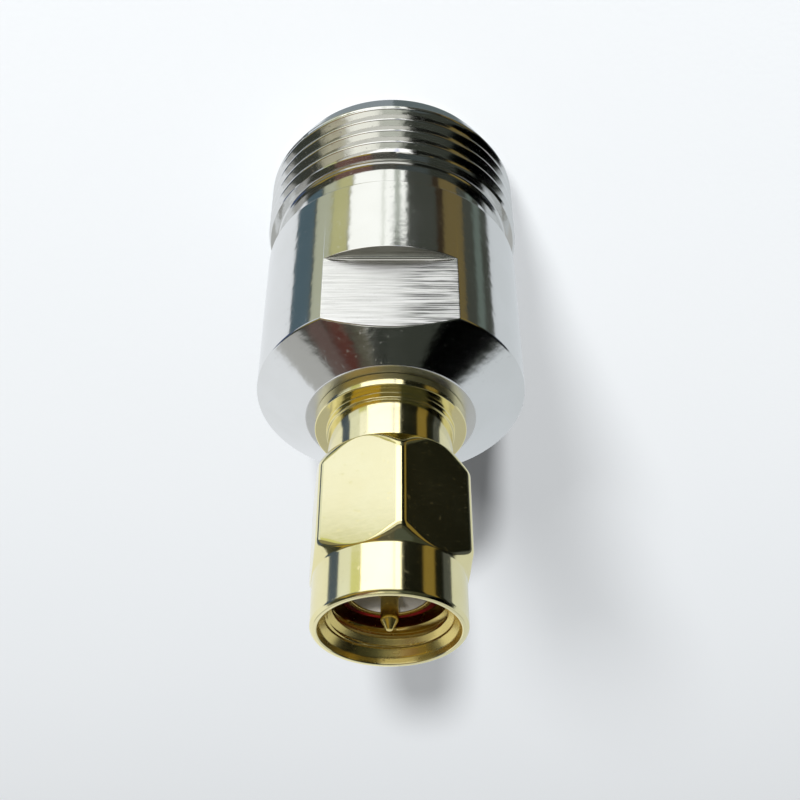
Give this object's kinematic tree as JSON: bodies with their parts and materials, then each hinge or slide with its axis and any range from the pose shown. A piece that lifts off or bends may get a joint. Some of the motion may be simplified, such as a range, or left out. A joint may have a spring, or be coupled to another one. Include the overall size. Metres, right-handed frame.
{
  "type": "coaxial adapter",
  "caption": "Straight coaxial adapter with a nickel N jack on a round barrel with wrench flats and a gold SMA plug with a turning hex coupling nut.",
  "frame": {"origin": "centre of the N face, at the bottom of the standing adapter", "axes": "+Z along the coaxial axis from the N face towards the SMA plug, a wrench flat faces -Y"},
  "size_m": [0.0156, 0.0156, 0.0332],
  "materials": {
    "nickel": "bright nickel plating on turned brass",
    "gold": "bright gold plating",
    "ptfe": "white PTFE",
    "silicone": "matt red silicone"
  },
  "bodies": {
    "adapter_body": {"n_shell": "nickel", "n_insulator": "ptfe", "n_socket_contact": "gold", "sma_body": "gold", "sma_insulator": "ptfe", "sma_pin": "gold", "gasket": "silicone"},
    "snap_ring_body": {"snap_ring": "gold"},
    "nut_body": {"coupling_nut": "gold"}
  },
  "joints": [
    {"name": "nut_float", "type": "slide", "parent": "adapter_body", "child": "snap_ring_body", "axis": [0, 0, 1], "range_m": [0, 0.00025]},
    {"name": "nut_spin", "type": "hinge", "parent": "snap_ring_body", "child": "nut_body", "pos_m": [0, 0, 0.0285], "axis": [0, 0, 1], "continuous": true}
  ]
}
